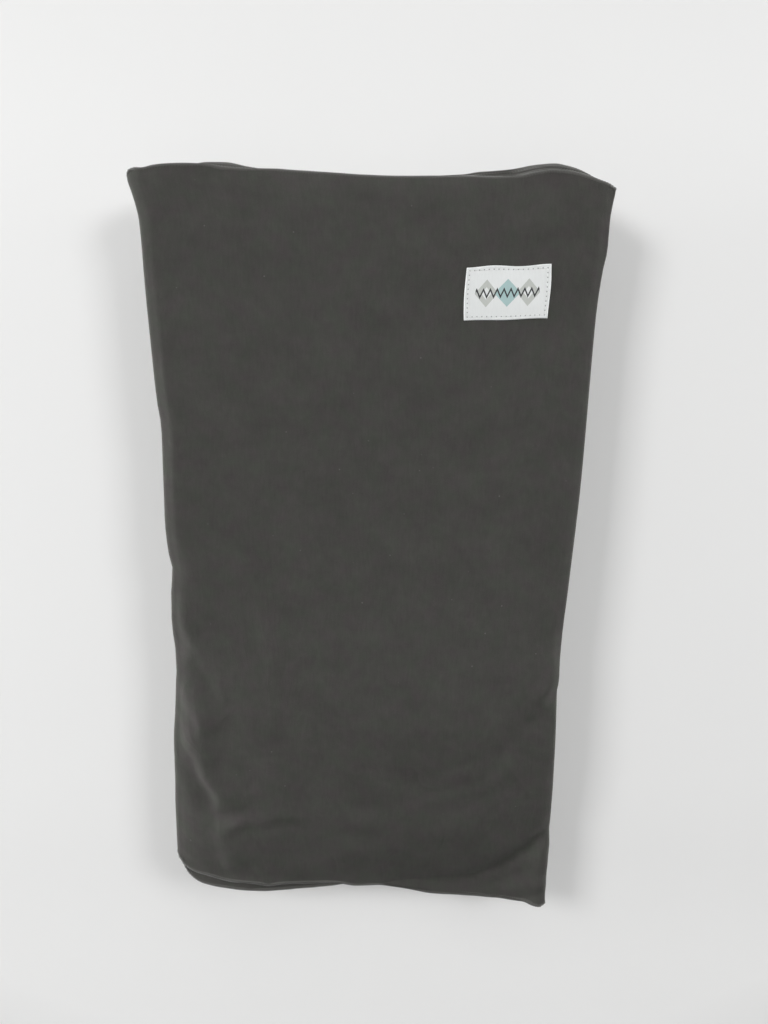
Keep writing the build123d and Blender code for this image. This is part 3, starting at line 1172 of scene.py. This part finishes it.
def stitch_piece(name, stitches, length, width, height):
    """Short bowed lengths of thread, one for each (point, along, out) in stitches."""
    bm = bmesh.new()
    for point, along, out in stitches:
        sideways = along.cross(out)
        made = bmesh.ops.create_uvsphere(bm, u_segments=8, v_segments=7, radius=0.5)["verts"]
        for vert in made:
            run, side, rise = vert.co.z * 2, vert.co.x * 2, vert.co.y * 2
            full = math.sqrt(max(0.0, 1 - run ** 4)) / max(1e-6, math.sqrt(max(1e-9, 1 - run * run)))
            bow = height * 0.55 * (1 - run * run)
            vert.co = (
                point
                + along * (run * length / 2)
                + sideways * (side * full * width / 2)
                + out * (rise * full * height / 2 + bow)
            )
    bmesh.ops.recalc_face_normals(bm, faces=bm.faces[:])
    return finish_mesh(name, bm)


class WRAP_OT_label(bpy.types.Operator):
    """Sews the woven label to the front layer, near the closed end"""

    bl_idname = "wrap.label"
    bl_label = "Centre label"

    def execute(self, context):
        values = context.scene.wrap_label
        half_wide = values.width / MM / 2
        half_tall = values.height / MM / 2

        def surface(across, up):
            outward = np.where(across < 0, 0.55 * np.sin(1.2 - up / 9.0), 0.5 * np.sin(0.9 + up / 8.0))
            bowed = outward * across / half_wide
            wavy = -0.5 * np.cos((across - 8) / 5.7) * np.maximum(up / half_tall, 0) ** 3
            wavy = wavy - 0.25 * np.cos(across / 6.5) * np.maximum(-up / half_tall, 0) ** 3
            x, z = label_spot(values, across + bowed, up + wavy)
            return x, layer_y(0, x, z) - label_rise(values, across, up), z

        corner = (-half_wide, -half_tall)
        label = tape_piece("centre_label_patch", values, 64, 40, corner, surface)
        thicken(label, LABEL_THICKNESS * MM)
        add_piece(label, label_material(values), "label_weave", "centre_label")
        half_width, half_height = (half / MM for half in stitch_line(values))
        corners = [
            np.array([x * half_width, z * half_height]) for x, z in ((-1, -1), (1, -1), (1, 1), (-1, 1))
        ]
        counts = [values.stitches_long, values.stitches_short] * 2
        stitches = []
        for start, end, count in zip(corners, corners[1:] + corners[:1], counts):
            step = (end - start) / np.linalg.norm(end - start)
            for number in range(count):
                spot = between(start, end, (number + 0.5) / count)
                across, up = (spot + step * np.array([[-1.0], [0.0], [1.0]])).T
                x, z = label_spot(values, across, up)
                y = layer_y(0, x, z) - label_rise(values, across, up) - LABEL_THREAD_AT
                before, middle, after = (Vector(point) * MM for point in zip(x, y, z))
                along = (after - before).normalized()
                out = along.cross(Vector((0, 0, 1) if abs(along.z) < 0.7 else (1, 0, 0))).normalized()
                if out.y > 0:
                    out = -out
                stitches.append((middle, along, out))
        sewing = stitch_piece(
            "centre_label_stitches", stitches, length=0.0023, width=0.00045, height=0.00026
        )
        material = thread_material("label_sewing_thread", (0.80, 0.82, 0.81), 5200.0)
        add_piece(sewing, material, "label_thread", "label_stitching")
        return {"FINISHED"}


def satin_material(values):
    """Blank satin tape with a fine lengthwise rib."""
    material, tree, shader = new_material(
        "satin_tape", Roughness=0.38, Specular_IOR_Level=0.5, Sheen_Weight=0.1, Anisotropic=0.4
    )
    flat = flat_map(tree)
    weave = use_group(tree, weave_group(), Flat=flat, Pitch=0.00022)
    uneven = mottled(tree, flat, rgba(values.colour), (1400, 120, 1), 0.06)
    tree.links.new(uneven["Colour"], shader.inputs["Base Color"])
    tree.links.new(bump(tree, weave["Height"], 0.00004, 0.4), shader.inputs["Normal"])
    return material


class WRAP_OT_care_tag(bpy.types.Operator):
    """Sews the blank care tag to the back of the longer tail"""

    bl_idname = "wrap.care_tag"
    bl_label = "Care tag"

    def execute(self, context):
        values = context.scene.wrap_tag
        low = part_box("care_tag")[0]
        tall = values.height / MM
        left = low.x / MM
        base = low.z / MM

        def tag_y(x, z):
            up = (z - base) / tall
            lifted = 2.6 * ramp(up, 0.85, 0) ** 1.5 + 0.35 * np.sin((x - left) / 6.0) * (1 - up)
            return layer_y(LAYERS - 2, x, z) + 0.60 + lifted

        def surface(across, up):
            x = left + across
            z = base + up
            return x, tag_y(x, z), z

        tag = tape_piece("care_tag_tape", values, 18, 30, (0, 0), surface)
        thicken(tag, TAG_THICKNESS * MM)
        add_piece(tag, satin_material(values), "satin_tape", "care_tag")
        seam_low, seam_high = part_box("care_tag_stitching")
        x = between(seam_low.x, seam_high.x, (np.arange(values.stitches) + 0.5) / values.stitches) / MM
        z = np.full(x.shape, (seam_low.z + seam_high.z) / 2 / MM)
        stitches = [
            (Vector(point) * MM, Vector((1, 0, 0)), Vector((0, 1, 0)))
            for point in zip(x, tag_y(x, z) + TAG_THREAD_AT, z)
        ]
        sewing = stitch_piece(
            "care_tag_stitches", stitches, length=0.0024, width=0.0005, height=0.00034
        )
        material = thread_material("tag_sewing_thread", (0.60, 0.61, 0.59), 5200.0)
        add_piece(sewing, material, "label_thread", "care_tag_stitching")
        return {"FINISHED"}


class WRAP_OT_declare(bpy.types.Operator):
    bl_idname = "wrap.declare"
    bl_label = "Declare the sheet"

    def execute(self, context):
        return {"FINISHED"}


def seen_directly(tree):
    """1 for rays from the camera, straight or by way of a mirror or glass, and 0 for the rest."""
    rays = add_node(tree, "ShaderNodeLightPath").outputs
    seen = sums("MAXIMUM", rays["Is Camera Ray"], rays["Is Glossy Ray"])
    return sums("MAXIMUM", seen, rays["Is Transmission Ray"])


def stage_material(name, colour, one_sided):
    """Matt pale paint, with painted shade that darkens it far from the bundle so that it does not burn out
    near the lights.
    It throws back less light than it shows, and the wall shows from its front only and never
    blocks the light. The wall also gives off a painted glow, seen by the camera only."""
    material, tree, shader = new_material(name, Roughness=0.95, Specular_IOR_Level=0.1)
    where = object_map(tree)
    paint = mottled(tree, where, rgba(colour), (3, 3, 3), 0.02)
    seen = seen_directly(tree)
    reach = add_node(tree, "ShaderNodeVectorMath", {"operation": "LENGTH"}, {0: where}).outputs["Value"]
    # Painted shade: the paint darkens with distance from the bundle.
    away = clamped(sums("SUBTRACT", reach, PAINTED_FALLOFF_START), 0.0, PAINTED_FALLOFF_LENGTH)
    painted_falloff = sums("MULTIPLY_ADD", away, sums("MULTIPLY_ADD", away, 0.30, 1.10), 1.0)
    share = sums("DIVIDE", sums("MULTIPLY_ADD", seen, 0.75, 0.25), painted_falloff)
    tree.links.new(scaled(tree, paint["Colour"], share), shader.inputs["Base Color"])
    if one_sided:
        # Painted light: the wall glows for the camera, most within 0.2 m of the bundle's middle height, less
        # above and below, and a little more to the left.
        shader.inputs["Emission Color"].default_value = (1.0, 1.0, 0.995, 1.0)
        across, _, up = parts(tree, where)
        side = clamped(across, -0.5, 0.5)
        level = clamped(sums("ABSOLUTE", sums("SUBTRACT", up, STAGE_MIDDLE.z)), 0.2, 0.4)
        painted_wall_glow = sums("MULTIPLY_ADD", level, -0.25, sums("MULTIPLY_ADD", side, -0.02, 0.147))
        tree.links.new(sums("DIVIDE", painted_wall_glow, painted_falloff), shader.inputs["Emission Strength"])
        back = add_node(tree, "ShaderNodeNewGeometry").outputs["Backfacing"]
        shown = sums("MULTIPLY", seen, sums("SUBTRACT", 1.0, back))
        clear = add_node(tree, "ShaderNodeBsdfTransparent").outputs[0]
        mix = add_node(tree, "ShaderNodeMixShader", inputs={0: shown, 1: clear, 2: shader.outputs[0]})
        output = next(node for node in tree.nodes if node.bl_idname == "ShaderNodeOutputMaterial")
        tree.links.new(mix.outputs[0], output.inputs["Surface"])
    return material


def stage_plane(name, half, placed, material):
    """A square of the stage; placed turns the two numbers of a corner into its position."""
    bm = bmesh.new()
    bmesh.ops.create_grid(bm, x_segments=1, y_segments=1, size=half)
    for vert in bm.verts:
        vert.co = placed(vert.co.x, vert.co.y)
    plane = finish_mesh(name, bm)
    plane.data.materials.append(material)
    return plane


def area_light(name, position, size, power):
    """A square lamp that shines on the middle of the bundle."""
    light = bpy.data.lights.new(name, "AREA")
    light.shape = "SQUARE"
    light.size = size
    light.energy = power
    lamp = bpy.data.objects.new(name, light)
    bpy.context.scene.collection.objects.link(lamp)
    lamp.location = position
    aim = STAGE_MIDDLE - lamp.location
    lamp.rotation_euler = aim.to_track_quat("-Z", "Y").to_euler()


def studio_world():
    """A pale background, which lights the bundle a little more from above and behind."""
    world = bpy.data.worlds.new("studio")
    world.use_nodes = True
    tree = world.node_tree
    tree.nodes.clear()
    seen = seen_directly(tree)
    _, forward, up = parts(tree, add_node(tree, "ShaderNodeTexCoord").outputs["Generated"])
    soft = sums("MULTIPLY_ADD", up, 0.16, sums("MULTIPLY_ADD", forward, 0.22, 0.335))
    unseen = sums("MULTIPLY", soft, sums("SUBTRACT", 1.0, seen))
    strength = sums("ADD", sums("MULTIPLY", seen, 0.84), unseen)
    inputs = {"Color": (1.0, 1.0, 1.0, 1.0), "Strength": strength}
    lit = add_node(tree, "ShaderNodeBackground", inputs=inputs)
    output = add_node(tree, "ShaderNodeOutputWorld")
    tree.links.new(lit.outputs[0], output.inputs["Surface"])
    return world


class WRAP_OT_stage(bpy.types.Operator):
    """Sets up the wall, floor, lights, world and camera"""

    bl_idname = "wrap.stage"
    bl_label = "Stage"

    def execute(self, context):
        values = context.scene.wrap_stage
        drop = values.floor_drop
        wall_half = 3.0
        floor_paint = stage_material("floor_paint", values.floor_colour, False)
        floor = stage_plane("floor", 6.0, lambda x, y: (x, y, -drop), floor_paint)
        wall_paint = stage_material("wall_paint", values.wall_colour, True)
        wall = stage_plane(
            "wall", wall_half, lambda x, y: (x, values.wall_gap, y + wall_half - drop), wall_paint
        )
        area_light("left_key_light", (-2.35, -2.8, 1.45), 1.2, 62.5)
        area_light("right_key_light", (2.35, -2.8, 1.45), 1.2, 45.5)
        area_light("top_light", (0.0, -1.0, 2.4), 2.0, 8.0)
        area_light("left_light", (-2.6, 0.0, 0.05), 1.2, 120.0)
        area_light("right_light", (2.6, 0.0, 0.05), 1.2, 88.0)
        context.scene.world = studio_world()
        camera = bpy.data.cameras.new("camera")
        camera.lens = values.lens
        camera.clip_start = 0.01
        camera.clip_end = 20.0
        seat = bpy.data.objects.new("camera", camera)
        context.scene.collection.objects.link(seat)
        seat.location = (0.0019, -values.camera_distance, -0.135)
        seat.rotation_euler = (math.pi / 2 - values.camera_pitch, 0.0, 0.0)
        context.scene.camera = seat
        context.scene.view_settings.view_transform = "Standard"
        return {"FINISHED"}


class WRAP_PT_panel(bpy.types.Panel):
    """Lists the steps that build the folded wrap"""

    bl_idname = "WRAP_PT_panel"
    bl_label = "Folded wrap sling"
    bl_space_type = "VIEW_3D"
    bl_region_type = "UI"
    bl_category = "Wrap"

    def draw(self, context):
        for group in GROUPS:
            values = getattr(context.scene, group)
            box = self.layout.box()
            for name in values.__annotations__:
                box.prop(values, name)
        for operator in STEPS:
            self.layout.operator(operator.bl_idname)


STEPS = (
    WRAP_OT_cloth, WRAP_OT_edge_thread, WRAP_OT_label, WRAP_OT_care_tag, WRAP_OT_declare, WRAP_OT_stage
)
GROUPS = {
    "wrap_cloth": ClothProperties,
    "wrap_edge": EdgeProperties,
    "wrap_label": LabelProperties,
    "wrap_tag": TagProperties,
    "wrap_stage": StageProperties,
}


def register():
    """Registers the classes and puts their settings on the scene."""
    for kind in (*GROUPS.values(), *STEPS, WRAP_PT_panel):
        bpy.utils.register_class(kind)
    for name, kind in GROUPS.items():
        setattr(bpy.types.Scene, name, PointerProperty(type=kind))


def unregister():
    """Takes away what register has added."""
    for name in GROUPS:
        delattr(bpy.types.Scene, name)
    for kind in reversed((*GROUPS.values(), *STEPS, WRAP_PT_panel)):
        bpy.utils.unregister_class(kind)


def main():
    """Builds the bundle and its stage."""
    register()
    bpy.ops.wrap.cloth()
    bpy.ops.wrap.edge_thread()
    bpy.ops.wrap.label()
    bpy.ops.wrap.care_tag()
    bpy.ops.wrap.declare()
    bpy.ops.wrap.stage()


if __name__ == "__main__":
    main()
